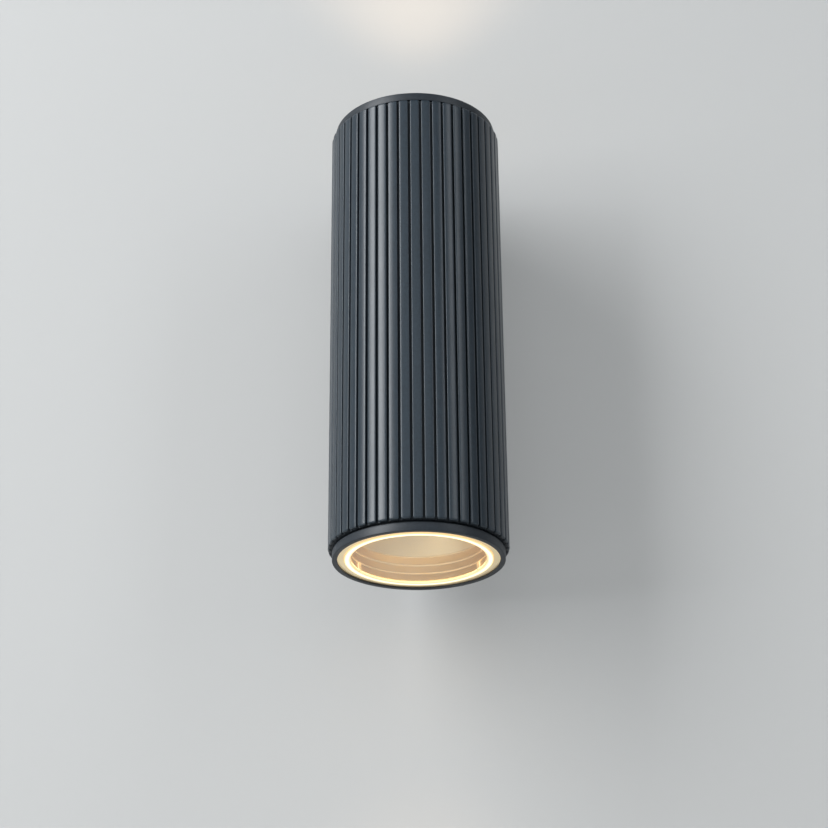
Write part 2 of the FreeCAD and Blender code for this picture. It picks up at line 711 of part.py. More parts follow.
def terminal_block():
    """Insulating body with a through hole for each pole and screw wells in front."""
    half = POLE_COUNT * POLE_PITCH / 2
    z0 = -TERMINAL_BELOW - TERMINAL_HEIGHT / 2
    front = -PLATE - TERMINAL_DEPTH
    block = brick(-half, half, front, -PLATE, z0, TERMINAL_TOP)
    sleeve_r = FUNNEL_R + SLEEVE_WALL
    sleeve_half = SLEEVE_LENGTH / 2
    for x in pole_places():
        block = block.cut(cylinder(FUNNEL_R, z0, TERMINAL_TOP, x, TERMINAL_Y))
        block = block.cut(cylinder(sleeve_r, -TERMINAL_BELOW - sleeve_half,
                                   -TERMINAL_BELOW + sleeve_half, x, TERMINAL_Y))
        for z in clamp_heights():
            block = block.cut(rod(M3_R + SCREW_CLEARANCE, V(x, front, z), V(x, TERMINAL_Y, z)))
    x = terminal_screw_x()
    z = -TERMINAL_BELOW
    return block.cut(rod(M3_R + THREAD_FIT, V(x, front, z), V(x, -PLATE, z)))


def terminal_sleeves():
    """Brass sleeve of each pole, tapped for its clamp screws."""
    sleeves = []
    sleeve_half = SLEEVE_LENGTH / 2
    for x in pole_places():
        z0 = -TERMINAL_BELOW - sleeve_half
        sleeve = cylinder(FUNNEL_R + SLEEVE_WALL, z0, z0 + SLEEVE_LENGTH, x, TERMINAL_Y)
        sleeve = sleeve.cut(cylinder(FUNNEL_R, z0, z0 + SLEEVE_LENGTH, x, TERMINAL_Y))
        for z in clamp_heights():
            tap = rod(M3_R + THREAD_FIT, V(x, TERMINAL_Y - SLEEVE_LENGTH, z), V(x, TERMINAL_Y, z))
            sleeve = sleeve.cut(tap)
        sleeves.append(sleeve)
    return Part.makeCompound(sleeves)


def terminal_screws():
    """Headless clamp screws of the poles."""
    screws = []
    start = -PLATE - TERMINAL_DEPTH + M3_HEAD
    end = TERMINAL_Y - FUNNEL_R
    for x in pole_places():
        for z in clamp_heights():
            screws.append(rod(M3_R, V(x, start, z), V(x, end, z)))
    return Part.makeCompound(screws)


def terminal_fixing():
    """Screw that fixes the terminal block to the wall plate."""
    seat = V(terminal_screw_x(), -PLATE - TERMINAL_DEPTH, -TERMINAL_BELOW)
    return screw(seat, V(0, 1, 0), TERMINAL_DEPTH + PLATE, M3_R, M3_HEAD_R, M3_HEAD)


def holder_lead(side, end):
    """Lead from one contact (side -1 live, 1 neutral) of the lower (-1) or upper (1) holder."""
    x = side * PIN_SPACING / 2
    row = end * LEAD_ROW
    hole_x = side * LEAD_COLUMN
    shelf = end * CHASSIS_HALF
    pole = side * POLE_PITCH
    depth = TERMINAL_Y + end * (LEAD_R + RUNNING_GAP)
    start = end * (HALF - SOCKET_FLOOR)
    return lead([
        V(x, AXIS_Y, start), V(x, AXIS_Y, shelf * LEAD_RISE), V(hole_x, CHASSIS_Y - LEAD_SETBACK, row),
        V(hole_x, BOX_FACE_Y + GROMMET_LIP, row), V(pole, depth, row),
        V(pole, depth, TERMINAL_TOP - LEAD_IN_FUNNEL)])


def leads(end):
    """Live and neutral lead of one holder."""
    return Part.makeCompound([holder_lead(side, end) for side in (-1, 1)])


def earth_lead():
    """Earth lead from the middle pole to the ring terminal on the chassis."""
    x, y = earth_place()
    barrel_y = y + M4_HEAD_R * 2 - LEAD_R - SHEET
    return lead([
        V(x, barrel_y, -CHASSIS_HALF + CHASSIS_SHEET + SHEET), V(x, barrel_y, 0),
        V(EARTH_COLUMN, CHASSIS_Y - GROMMET_LIP, 0), V(EARTH_COLUMN, BOX_FACE_Y + GROMMET_LIP, 0),
        V(0, TERMINAL_Y, 0),
        V(0, TERMINAL_Y, TERMINAL_TOP - LEAD_IN_FUNNEL)])


# Assembly

END_PARTS = {
    "bezel": bezel, "lens": lens, "reflector": reflector, "seal": seal,
    "lamp_body": lamp_body, "lamp_lens": lamp_lens, "lamp_board": lamp_board, "lamp_pins": lamp_pins,
    "lampholder": lampholder, "contacts": contacts, "holder_screws": holder_screws}

MIDDLE_PARTS = {
    "fluted_tube": fluted_tube, "chassis": chassis, "tube_screws": tube_screws,
    "earth_tag": earth_tag, "earth_screw": earth_screw, "earth_lead": earth_lead,
    "wire_grommet": wire_grommet, "mount_box": mount_box, "wall_gasket": wall_gasket,
    "wall_plate": wall_plate, "box_screws": box_screws, "cable_grommet": cable_grommet,
    "terminal_block": terminal_block, "terminal_sleeves": terminal_sleeves,
    "terminal_screws": terminal_screws, "terminal_fixing": terminal_fixing}


def build():
    """Every node of the light by name."""
    nodes = {name: make() for name, make in MIDDLE_PARTS.items()}
    for name, make in END_PARTS.items():
        shape = make()
        nodes["bottom_" + name] = shape
        nodes["top_" + name] = upper(shape)
    nodes["bottom_leads"] = leads(-1)
    nodes["top_leads"] = leads(1)
    return nodes


os.makedirs("parts", exist_ok=True)
for node, solid in build().items():
    solid.exportStep("parts/" + node + ".step")
    print("%-22s solids %d valid %s volume %.1f" % (node, len(solid.Solids), solid.isValid(), solid.Volume))
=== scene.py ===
import bmesh
import bpy
import json
import math
from mathutils import Matrix, Vector


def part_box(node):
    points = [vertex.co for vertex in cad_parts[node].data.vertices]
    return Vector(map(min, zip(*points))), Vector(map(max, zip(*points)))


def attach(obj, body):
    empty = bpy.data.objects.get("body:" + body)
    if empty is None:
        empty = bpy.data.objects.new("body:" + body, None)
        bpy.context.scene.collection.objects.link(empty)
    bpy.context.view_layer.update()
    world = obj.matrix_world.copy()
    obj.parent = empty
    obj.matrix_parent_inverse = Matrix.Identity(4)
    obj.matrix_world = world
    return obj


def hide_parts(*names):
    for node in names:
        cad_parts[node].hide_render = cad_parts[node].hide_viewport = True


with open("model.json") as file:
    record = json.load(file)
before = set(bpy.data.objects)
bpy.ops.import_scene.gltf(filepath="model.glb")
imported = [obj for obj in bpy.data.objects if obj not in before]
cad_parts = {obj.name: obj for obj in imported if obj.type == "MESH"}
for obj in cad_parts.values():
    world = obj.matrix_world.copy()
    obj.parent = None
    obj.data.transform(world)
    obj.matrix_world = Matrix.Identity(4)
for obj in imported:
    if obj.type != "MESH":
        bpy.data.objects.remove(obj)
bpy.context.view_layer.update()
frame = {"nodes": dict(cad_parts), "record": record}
MM = 0.001


# Camera: below the light and a hair to its right, looking up at it, as the photograph does.
# The focal length is for a 36 mm sensor, and the turns are in radians.

CAMERA_PLACE = (0.0037, -0.9830, -0.4589)
CAMERA_TURN = 0.0060
CAMERA_PITCH = 0.4263
CAMERA_ROLL = -0.0083


def in_scene(name, data):
    thing = bpy.data.objects.new(name, data)
    bpy.context.collection.objects.link(thing)
    return thing


camera_data = bpy.data.cameras.new("camera")
camera_data.sensor_width = 36.0
camera_data.lens = 85.81
camera = in_scene("camera", camera_data)
camera.matrix_world = (
    Matrix.Translation(CAMERA_PLACE)
    @ Matrix.Rotation(CAMERA_TURN, 4, "Z")
    @ Matrix.Rotation(math.pi / 2 + CAMERA_PITCH, 4, "X")
    @ Matrix.Rotation(CAMERA_ROLL, 4, "Z"))
bpy.context.scene.camera = camera
bpy.context.scene.view_settings.view_transform = "Standard"


# Stage: a plain pale plastered wall behind the light and a plain pale floor far below it. The wall
# is see-through from behind, so that the back of the light shows in views from there.

WALL_SIZE = 3.0
WALL_Y = 0.3 * MM
WALL_GLOW = 0.14  # stands for the light that a whole bright room sends back
FLOOR_SIZE = 8.0
FLOOR_Z = -0.9


def plain_material(name, colour, roughness):
    material = bpy.data.materials.new(name)
    material.use_nodes = True
    shader = material.node_tree.nodes["Principled BSDF"]
    shader.inputs["Base Color"].default_value = (*colour, 1)
    shader.inputs["Roughness"].default_value = roughness
    return material, material.node_tree, shader


def noise(tree, scale, detail, stretch=(1, 1, 1)):
    """Noise socket on Object coordinates; scale counts its blobs to the metre."""
    place = tree.nodes.new("ShaderNodeTexCoord")
    mapping = tree.nodes.new("ShaderNodeMapping")
    texture = tree.nodes.new("ShaderNodeTexNoise")
    mapping.inputs["Scale"].default_value = stretch
    texture.inputs["Scale"].default_value = scale
    texture.inputs["Detail"].default_value = detail
    tree.links.new(place.outputs["Object"], mapping.inputs["Vector"])
    tree.links.new(mapping.outputs["Vector"], texture.inputs["Vector"])
    return texture.outputs["Fac"]


def raise_grain(tree, shader, height, strength, depth):
    """Bump on the shader from a noise socket, as deep as depth at full strength."""
    bump = tree.nodes.new("ShaderNodeBump")
    bump.inputs["Strength"].default_value = strength
    bump.inputs["Distance"].default_value = depth
    tree.links.new(height, bump.inputs["Height"])
    tree.links.new(bump.outputs["Normal"], shader.inputs["Normal"])


def stage_plane(name, size, matrix, material):
    bm = bmesh.new()
    bmesh.ops.create_grid(bm, x_segments=1, y_segments=1, size=size / 2, matrix=matrix)
    mesh = bpy.data.meshes.new(name)
    bm.to_mesh(mesh)
    bm.free()
    mesh.materials.append(material)
    plane = in_scene(name, mesh)
    return plane


wall_paint, tree, shader = plain_material("wall_paint", (0.34, 0.34, 0.335), 0.9)
shader.inputs["Emission Color"].default_value = (0.98, 1.0, 1.0, 1)
shader.inputs["Emission Strength"].default_value = WALL_GLOW
raise_grain(tree, shader, noise(tree, 160, 5), 0.12, 0.5 * MM)
facing = tree.nodes.new("ShaderNodeNewGeometry")
see_through = tree.nodes.new("ShaderNodeBsdfTransparent")
one_sided = tree.nodes.new("ShaderNodeMixShader")
tree.links.new(facing.outputs["Backfacing"], one_sided.inputs["Fac"])
tree.links.new(shader.outputs["BSDF"], one_sided.inputs[1])
tree.links.new(see_through.outputs["BSDF"], one_sided.inputs[2])
tree.links.new(one_sided.outputs["Shader"], tree.nodes["Material Output"].inputs["Surface"])
upright = Matrix.Translation((0, WALL_Y, 0)) @ Matrix.Rotation(math.pi / 2, 4, "X")
wall = stage_plane("stage_wall", WALL_SIZE, upright, wall_paint)
wall.visible_shadow = False  # lets the fill behind it reach the light's back

floor_paint, tree, shader = plain_material("floor_paint", (0.72, 0.72, 0.71), 0.8)
stage_plane("stage_floor", FLOOR_SIZE, Matrix.Translation((0, 0, FLOOR_Z)), floor_paint)


# Studio light: a large soft window light from the left, a weaker one from the right and a fill
# from the front. Another fill stands behind the wall, for the back of the light.

AIM = (0, -0.06, 0)


def soft_light(name, place, target, size, power, colour):
    """Soft panel of size (width, height) at place, turned to target, with its power in watts."""
    data = bpy.data.lights.new(name, "AREA")
    data.shape = "RECTANGLE"
    data.size, data.size_y = size
    data.energy = power
    data.color = colour
    panel = in_scene(name, data)
    panel.location = place
    panel.rotation_euler = (Vector(target) - Vector(place)).to_track_quat("-Z", "Y").to_euler()
    panel.visible_camera = False


soft_light("window_left", (-1.42, -1.18, 0.62), AIM, (0.80, 2.1), 58, (0.96, 0.98, 1.0))
soft_light("fill_right", (1.32, -1.20, 0.62), AIM, (0.35, 1.7), 8, (0.92, 0.96, 1.0))
soft_light("front_fill", (0.1, -2.2, 0.95), AIM, (1.6, 1.4), 7, (0.88, 0.95, 1.0))
soft_light("back_fill", (0.3, 1.5, 0.8), (0, 0, 0), (1.4, 1.4), 16, (1.0, 1.0, 1.0))
world = bpy.data.worlds.new("studio")
world.use_nodes = True
sky = world.node_tree.nodes["Background"]
sky.inputs["Color"].default_value = (0.80, 0.84, 0.88, 1)
sky.inputs["Strength"].default_value = 0.26
bpy.context.scene.world = world


# Ribbed tube: an aluminium extrusion with 48 flat-crowned ribs, powder coated in anthracite with a
# fine orange-peel grain. Both ends are turned down to the necks that carry the end rings, which
# rounds over the ribs' ends, and its back is milled flat for the box.

tube_low, tube_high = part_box("fluted_tube")
ring_low, ring_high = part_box("bottom_bezel")
box_low, box_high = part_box("mount_box")
AXIS = Vector((0, (tube_low.y + tube_high.y) / 2, 0))
CREST_R = (tube_high.x - tube_low.x) / 2
NECK_END_Z = tube_low.z
NECK_R = 41.1 * MM
BORE_R = 39.5 * MM
RIM_Z = ring_low.z
RING_HEIGHT = ring_high.z - ring_low.z
SHADOW_GAP = 1.1 * MM

RIB_COUNT = 48
GROOVE_DEPTH = 2.0 * MM
GROOVE_WIDTH = 1.15 * MM
RIB_CROWN_R = 16.0 * MM
CROWN_SHARE = 0.85  # of the rib's half width, up to the rounded shoulder
CROWN_CUTS = 3
RIB_SHOULDER = 0.38 * MM
SHOULDER_STEPS = 4
RIB_END_ROUND = 0.9 * MM
RIB_END_STEPS = 5
RIB_END_SIDES = 0.8  # how far the sides draw in, for each unit that the crown does
FLAT_END = 0.4 * MM  # beyond the rounded ends, so that the long sides shade flat

FLAT_HALF = box_high.z + 0.3 * MM
LAND_HALF = -RIM_Z - 34 * MM
LAND_Y = -29.5 * MM
MILL_CORNER = 0.05 * MM
HAIR = 0.001 * MM  # points closer than this are one

ANTHRACITE = (0.013, 0.022, 0.031)
GROOVE_SHADE_REACH = (CREST_R - 1.1 * MM, CREST_R - 0.3 * MM)  # radii from dull with painted shade to the full coat
GROOVE_ROUGHNESS = 0.6
GROOVE_SHADE_TINT = 0.45  # share of the coat's colour left in the grooves' painted shade


def shade(colour, factor):
    return [min(1, c * factor) for c in colour]


def between(tree, socket, low, high):
    """Carries a socket's 0 to 1 over to low to high; returns the Map Range node."""
    carried = tree.nodes.new("ShaderNodeMapRange")
    carried.inputs["To Min"].default_value = low
    carried.inputs["To Max"].default_value = high
    tree.links.new(socket, carried.inputs["Value"])
    return carried


def colour_ramp(tree, socket, *stops):
    """Colours a socket's 0 to 1 through stops of (position, colour); returns the Color socket."""
    ramp = tree.nodes.new("ShaderNodeValToRGB")
    marks = ramp.color_ramp.elements
    for mark, (position, colour) in ((marks[0], stops[0]), (marks[1], stops[-1])):
        mark.position = position
        mark.color = (*colour, 1)
    for position, colour in stops[1:-1]:
        marks.new(position).color = (*colour, 1)
    tree.links.new(socket, ramp.inputs["Fac"])
    return ramp.outputs["Color"]


def off_axis(tree, low, high):
    """Distance from the tube's axis on Object coordinates, as 0 at low to 1 at high."""
    place = tree.nodes.new("ShaderNodeTexCoord")
    centred = tree.nodes.new("ShaderNodeVectorMath")
    centred.operation = "SUBTRACT"
    centred.inputs[1].default_value = AXIS
    flat = tree.nodes.new("ShaderNodeVectorMath")
    flat.operation = "MULTIPLY"
    flat.inputs[1].default_value = (1, 1, 0)
    length = tree.nodes.new("ShaderNodeVectorMath")
    length.operation = "LENGTH"
    across = between(tree, length.outputs["Value"], 0, 1)
    across.inputs["From Min"].default_value = low
    across.inputs["From Max"].default_value = high
    tree.links.new(place.outputs["Object"], centred.inputs[0])
    tree.links.new(centred.outputs["Vector"], flat.inputs[0])
    tree.links.new(flat.outputs["Vector"], length.inputs[0])
    return across.outputs["Result"]


def powder_coat(name, colour, grain, roughness, groove_shade=None):
    """Satin coat with a fine peel. Given groove radii, it dulls inwards between them, and its
    colour darkens there as painted shade for the grooves.
    """
    material, tree, shader = plain_material(name, colour, roughness)
    shader.inputs["Specular IOR Level"].default_value = 0.42
    peel, clouds, specks = noise(tree, 1500, 3), noise(tree, 60, 4), noise(tree, 900, 2)
    raise_grain(tree, shader, peel, grain, 0.08 * MM)
    gloss = between(tree, clouds, roughness - 0.05, roughness + 0.06).outputs["Result"]
    tint = colour_ramp(tree, specks, (0.35, shade(colour, 0.85)), (0.65, shade(colour, 1.18)))
    if groove_shade:
        crest = off_axis(tree, *groove_shade)
        dulled = between(tree, crest, GROOVE_ROUGHNESS, 1)
        tree.links.new(gloss, dulled.inputs["To Max"])
        # Painted shade: the coat's colour falls to a share of itself towards the groove floors.
        painted_groove_shade = tree.nodes.new("ShaderNodeMix")
        painted_groove_shade.data_type = "RGBA"
        painted_groove_shade.inputs["A"].default_value = (*shade(colour, GROOVE_SHADE_TINT), 1)
        tree.links.new(crest, painted_groove_shade.inputs["Factor"])
        tree.links.new(tint, painted_groove_shade.inputs["B"])
        gloss, tint = dulled.outputs["Result"], painted_groove_shade.outputs["Result"]
    tree.links.new(gloss, shader.inputs["Roughness"])
    tree.links.new(tint, shader.inputs["Base Color"])
    return material


def wire(bm, points, closed):
    """Vertices through points, joined by edges in their order; returns the vertices."""
    verts = [bm.verts.new(point) for point in points]
    for a, b in zip(verts, verts[1:] + verts[:1] if closed else verts[1:]):
        bm.edges.new((a, b))
    return verts


def round_corners(bm, corners, radius, segments):
    bmesh.ops.bevel(bm, geom=corners, offset=radius, offset_type="OFFSET", segments=segments,
                    profile=0.5, affect="VERTICES", material=-1)


def crown_out(side):
    """How far from the axis the rib's crown lies, at a distance to the side of its middle."""
    return CREST_R - RIB_CROWN_R + math.sqrt(RIB_CROWN_R ** 2 - side ** 2)


def drawn(grown, kind):
    """The vertices or the edges among what an extrusion made."""
    return [g for g in grown["geom"] if isinstance(g, kind)]


def ring_step(bm, edges, radius, z):
    """Extrudes a loop of edges to a circle round the axis; returns the new loop."""
    grown = bmesh.ops.extrude_edge_only(bm, edges=edges)
    for v in drawn(grown, bmesh.types.BMVert):
        out = Vector((v.co.x, v.co.y - AXIS.y, 0)).normalized()
        v.co = AXIS + out * radius + Vector((0, 0, z))
    return [e for e in drawn(grown, bmesh.types.BMEdge) if e.is_boundary]


def reach(point):
    """Distance of a point from the tube's axis."""
    return math.hypot(point.x, point.y - AXIS.y)


def as_piece(bm, name, *materials, sharp=35):
    """Mesh object at the origin from a bmesh, smooth but for edges sharper than sharp degrees."""
    bmesh.ops.recalc_face_normals(bm, faces=bm.faces)
    mesh = bpy.data.meshes.new(name)
    bm.to_mesh(mesh)
    bm.free()
    mesh.shade_smooth()
    mesh.set_sharp_from_angle(angle=math.radians(sharp))
    for material in materials:
        mesh.materials.append(material)
    return in_scene(name, mesh)


# The tube's coat darkens into the grooves as painted shade, and dulls there.
anthracite = powder_coat("anthracite_powder_coat", ANTHRACITE, grain=0.22, roughness=0.31,
                         groove_shade=GROOVE_SHADE_REACH)

# One rib stands in plan at the front of the tube, from the middle of one groove to the next.
pitch = 2 * math.pi / RIB_COUNT
rib_half = (CREST_R * pitch - GROOVE_WIDTH) / 2
floor_r = CREST_R - GROOVE_DEPTH
half_plan = [(floor_r * math.sin(pitch / 2), floor_r * math.cos(pitch / 2)),
             (rib_half, floor_r), (rib_half, crown_out(rib_half))]
plan = [(-side, out) for side, out in half_plan] + [(0, CREST_R)] + half_plan[::-1]
bm = bmesh.new()
corners = wire(bm, [(side, AXIS.y - out, 0) for side, out in plan], closed=False)
round_corners(bm, [corners[2], corners[4]], RIB_SHOULDER, SHOULDER_STEPS)
crest = min(bm.verts, key=lambda v: v.co.y)
bmesh.ops.subdivide_edges(bm, edges=list(crest.link_edges), cuts=CROWN_CUTS)
for v in bm.verts:
    if abs(v.co.x) < rib_half * CROWN_SHARE:
        v.co.y = AXIS.y - crown_out(v.co.x)

# The rib rises through levels of (height, inset). Each end closes in over a quarter round.
ribs_low = RIM_Z + RING_HEIGHT + SHADOW_GAP
ribs_high = -ribs_low
closing = []
for i in range(RIB_END_STEPS + 1):
    turn = i / RIB_END_STEPS * math.pi / 2
    closing.append((RIB_END_ROUND * (1 - math.cos(turn)), RIB_END_ROUND * (1 - math.sin(turn))))
closing.append((RIB_END_ROUND + FLAT_END, 0))
levels = [(ribs_low + rise, inset) for rise, inset in closing]
levels += [(ribs_high - rise, inset) for rise, inset in closing[::-1]]
in_plan = bm.verts.layers.float_vector.new("in_plan")
for v in bm.verts:
    v[in_plan] = v.co
level, edges = list(bm.verts), list(bm.edges)
for i, (z, inset) in enumerate(levels):
    if i > 0:
        grown = bmesh.ops.extrude_edge_only(bm, edges=edges)
        level = drawn(grown, bmesh.types.BMVert)
        edges = [e for e in drawn(grown, bmesh.types.BMEdge) if all(v in level for v in e.verts)]
    for v in level:
        side, out = v[in_plan].x, AXIS.y - v[in_plan].y
        lift = max(0.0, out - floor_r) / GROOVE_DEPTH
        if abs(side) < rib_half + HAIR:
            side *= 1 - RIB_END_SIDES * inset / rib_half
        v.co = (side, AXIS.y - (out - inset * lift), z)
bm.verts.layers.float_vector.remove(in_plan)

# The rib is copied round the axis, and the necks and the bore close the tube.
bmesh.ops.spin(bm, geom=bm.verts[:] + bm.edges[:] + bm.faces[:], cent=AXIS, axis=(0, 0, 1),
               angle=2 * math.pi, steps=RIB_COUNT, use_duplicate=True)
bmesh.ops.remove_doubles(bm, verts=bm.verts, dist=0.02 * MM)
for end_z, neck_z in ((ribs_low, NECK_END_Z), (ribs_high, -NECK_END_Z)):
    loop = [e for e in bm.edges if e.is_boundary and abs(e.verts[0].co.z - end_z) < 10 * HAIR]
    for radius, z in ((NECK_R, end_z), (NECK_R, neck_z), (BORE_R, neck_z)):
        loop = ring_step(bm, loop, radius, z)
bmesh.ops.bridge_loops(bm, edges=[e for e in bm.edges if e.is_boundary])

# The back is milled flat for the box, and inside a flat land carries the chassis.
for half in (FLAT_HALF, FLAT_HALF + MILL_CORNER, LAND_HALF, LAND_HALF + MILL_CORNER):
    for z in (-half, half):
        bmesh.ops.bisect_plane(bm, geom=bm.verts[:] + bm.edges[:] + bm.faces[:], dist=HAIR,
                               plane_co=(0, 0, z), plane_no=(0, 0, 1))
for v in bm.verts:
    inner = reach(v.co) < (BORE_R + NECK_R) / 2
    half, flat_y = (LAND_HALF, LAND_Y) if inner else (FLAT_HALF, box_low.y)
    if abs(v.co.z) < half + MILL_CORNER / 2:
        v.co.y = min(v.co.y, flat_y)
bmesh.ops.dissolve_degenerate(bm, edges=bm.edges[:], dist=2 * HAIR)
ribbed_tube = as_piece(bm, "ribbed_tube", anthracite, sharp=40)
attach(ribbed_tube, "case")
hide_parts("fluted_tube")


# Back box, wall plate and chassis: the cast box wears the tube's coat and is screwed to a folded
# steel plate on the wall, over a foam frame. A folded steel chassis inside the tube carries the
# lampholders. Plate, chassis and screws are zinc plated.

def dress(slot, material):
    """Gives the CAD nodes of a material slot their finish."""
    for part in frame["record"]["subparts"]:
        if part["material_slot"] == slot:
            node = frame["nodes"][part["node"]]
            node.data.materials.clear()
            node.data.materials.append(material)


def metal(name, colour, roughness, brushed=0.0):
    """Bare metal with fine lines along the tube's axis, raised by the share in brushed."""
    material, tree, shader = plain_material(name, colour, roughness)
    shader.inputs["Metallic"].default_value = 1.0
    lines = noise(tree, 900, 4, stretch=(1, 1, 0.05))
    gloss = between(tree, lines, roughness - 0.1, roughness + 0.12)
    tree.links.new(gloss.outputs["Result"], shader.inputs["Roughness"])
    if brushed:
        raise_grain(tree, shader, lines, brushed, 0.03 * MM)
    return material


def moulded(name, colour, roughness, grain=0.1, scale=700):
    """Moulded or fired surface with a faint grain and a slightly uneven colour."""
    material, tree, shader = plain_material(name, colour, roughness)
    raise_grain(tree, shader, noise(tree, scale, 3), grain, 0.05 * MM)
    clouds = noise(tree, 120, 3)
    mottle = colour_ramp(tree, clouds, (0, shade(colour, 0.93)), (1, shade(colour, 1.05)))
    tree.links.new(mottle, shader.inputs["Base Color"])
    return material


dress("anthracite_paint", anthracite)
dress("zinc_steel", metal("zinc_steel", (0.58, 0.60, 0.63), roughness=0.38, brushed=0.1))
dress("foam", moulded("foam_rubber", (0.02, 0.02, 0.022), roughness=0.9, grain=0.6, scale=1400))


# Wiring: two fired ceramic lampholders with brass contacts, sleeved leads, a moulded terminal block
# with brass sleeves, and silicone rubber for the grommets and for the seals under the reflectors.

dress("white_ceramic", moulded("white_ceramic", (0.72, 0.70, 0.64), roughness=0.55, grain=0.2))
dress("brass", metal("brass", (0.80, 0.58, 0.26), roughness=0.3))
dress("lead_sleeve", moulded("lead_sleeve", (0.78, 0.76, 0.72), roughness=0.45))
dress("earth_sleeve", moulded("earth_sleeve", (0.20, 0.42, 0.05), roughness=0.45))
dress("terminal_plastic", moulded("terminal_plastic", (0.80, 0.79, 0.74), roughness=0.5))
dress("silicone", moulded("silicone_rubber", (0.035, 0.035, 0.038), roughness=0.65))


# Lamps: two twist-lock lamps with a white moulded housing, nickel pins, a pale board and a clear
# front, lit from behind. Each sends a soft warm beam out of its end of the tube and over the wall.

BEAM_COLOUR = (1.0, 0.74, 0.48)
BEAM_SPREAD = math.radians(84)
BEAM_MOUTH_R = 12 * MM
BEAM_Z = 138 * MM
FRONT_GLOW = (1.8, 3.0)

dress("lamp_housing", moulded("lamp_housing", (0.74, 0.74, 0.71), roughness=0.5))
dress("lamp_board", moulded("lamp_board", (0.84, 0.80, 0.62), roughness=0.6))
dress("nickel", metal("nickel_pins", (0.68, 0.66, 0.62), roughness=0.28))
lit, tree, shader = plain_material("lit_lamp_front", (1.0, 0.95, 0.85), 0.15)
shader.inputs["Emission Color"].default_value = (1.0, 0.74, 0.42, 1)
rays = between(tree, noise(tree, 260, 1), *FRONT_GLOW)
tree.links.new(rays.outputs["Result"], shader.inputs["Emission Strength"])
dress("lamp_front", lit)

for name, z, facing, power in (("beam_down", -BEAM_Z, 0, 0.5), ("beam_up", BEAM_Z, math.pi, 2.0)):
    data = bpy.data.lights.new(name, "SPOT")
    data.energy = power
    data.color = BEAM_COLOUR
    data.spot_size = BEAM_SPREAD
    data.spot_blend = 1.0
    data.shadow_soft_size = BEAM_MOUTH_R
    beam = in_scene(name, data)
    beam.location = (0, AXIS.y, z)
    beam.rotation_euler = (facing, 0, 0)
    beam.visible_camera = False


# Reflectors: spun from satin aluminium sheet. A faced flange, with a painted warm glow for the
# lamp's light on it, shows as the warm band round the lens.
# Over the lens come three steps with bright cut treads, and a cone up to the lamp.

SHEET = 0.8 * MM
FLANGE_R = 41.0 * MM
FLANGE_H = 1.0 * MM
MOUTH_R = 36.95 * MM
MOUTH_H = 3.1 * MM
STEP_R = 34.9 * MM
STEP_IN = 0.8 * MM
STEP_RISES = (4.3 * MM, 4.0 * MM, 4.4 * MM)
CONE_RISE = 13.2 * MM
COLLAR_R = 25.6 * MM
COLLAR_RISE = 3.0 * MM
FOLD_R = 0.32 * MM
TREAD_LEVEL = 0.6  # least upright share of a tread's normal
TURNED_STEPS = 192
TURNED_EDGE_STEPS = 3
WARM_METAL = (1.0, 0.86, 0.58)


def turned(outline, rounded, rounding, closed=True):
    """Spins an outline of (radius, height over the lower rim) round the tube's axis. The corners
    whose places in the outline are in rounded are rounded off first."""
    bm = bmesh.new()
    points = wire(bm, [(r, AXIS.y, RIM_Z + h) for r, h in outline], closed)
    round_corners(bm, [points[i] for i in rounded], rounding, TURNED_EDGE_STEPS)
    bmesh.ops.spin(bm, geom=bm.verts[:] + bm.edges[:], cent=AXIS, axis=(0, 0, 1),
                   angle=2 * math.pi, steps=TURNED_STEPS, use_merge=True)
    bmesh.ops.remove_doubles(bm, verts=bm.verts, dist=5 * HAIR)
    return bm


def at_end(bm, end):
    """Turns a piece built for the lower end into the same piece for the upper end."""
    if end == "top":
        half_turn = Matrix.Rotation(math.pi, 3, "Y")
        bmesh.ops.rotate(bm, verts=bm.verts, cent=(0, 0, 0), matrix=half_turn)


inside = [(MOUTH_R, FLANGE_H), (MOUTH_R, MOUTH_H), (STEP_R, MOUTH_H)]
radius, height = STEP_R, MOUTH_H
for rise in STEP_RISES:
    height += rise
    inside.append((radius, height))
    radius -= STEP_IN
    inside.append((radius, height))
steps_top = height
collar_top = steps_top + CONE_RISE + COLLAR_RISE
inside += [(COLLAR_R, steps_top + CONE_RISE), (COLLAR_R, collar_top)]
outside = [(r + SHEET, h + SHEET) for r, h in inside[1:-1]]
outside.append((COLLAR_R + SHEET, collar_top))
shell = [(FLANGE_R, FLANGE_H)] + inside + outside[::-1]
shell += [(MOUTH_R + SHEET, FLANGE_H + SHEET), (FLANGE_R, FLANGE_H + SHEET)]

satin = metal("satin_aluminium", (0.84, 0.67, 0.41), roughness=0.34, brushed=0.08)
cut_edge = metal("bright_cut_edge", WARM_METAL, roughness=0.18)
flange_glow = metal("faced_flange_with_painted_glow", WARM_METAL, roughness=0.42, brushed=0.06)
shader = flange_glow.node_tree.nodes["Principled BSDF"]
# Painted glow: the flange gives off a faint warm light that stands for the lamp's light falling on
# it.
shader.inputs["Emission Color"].default_value = (1.0, 0.72, 0.36, 1)
shader.inputs["Emission Strength"].default_value = 0.12
for end in ("bottom", "top"):
    bm = turned(shell, range(1, len(inside) + 1), FOLD_R)
    bm.normal_update()
    for face in bm.faces:
        middle = face.calc_center_median()
        if MOUTH_H < middle.z - RIM_Z < steps_top and abs(face.normal.z) > TREAD_LEVEL:
            face.material_index = 1
        if reach(middle) > MOUTH_R and middle.z - RIM_Z < FLANGE_H + SHEET / 4:
            face.material_index = 2
    at_end(bm, end)
    reflector = as_piece(bm, end + "_spun_reflector", satin, cut_edge, flange_glow)
    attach(reflector, end + "_optic")
    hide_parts(end + "_reflector")


# Lenses: clear moulded discs. The thick rim gathers the lamp's light and glows, most along its
# middle. Three legs rise from it, with hooks that snap into the reflector.

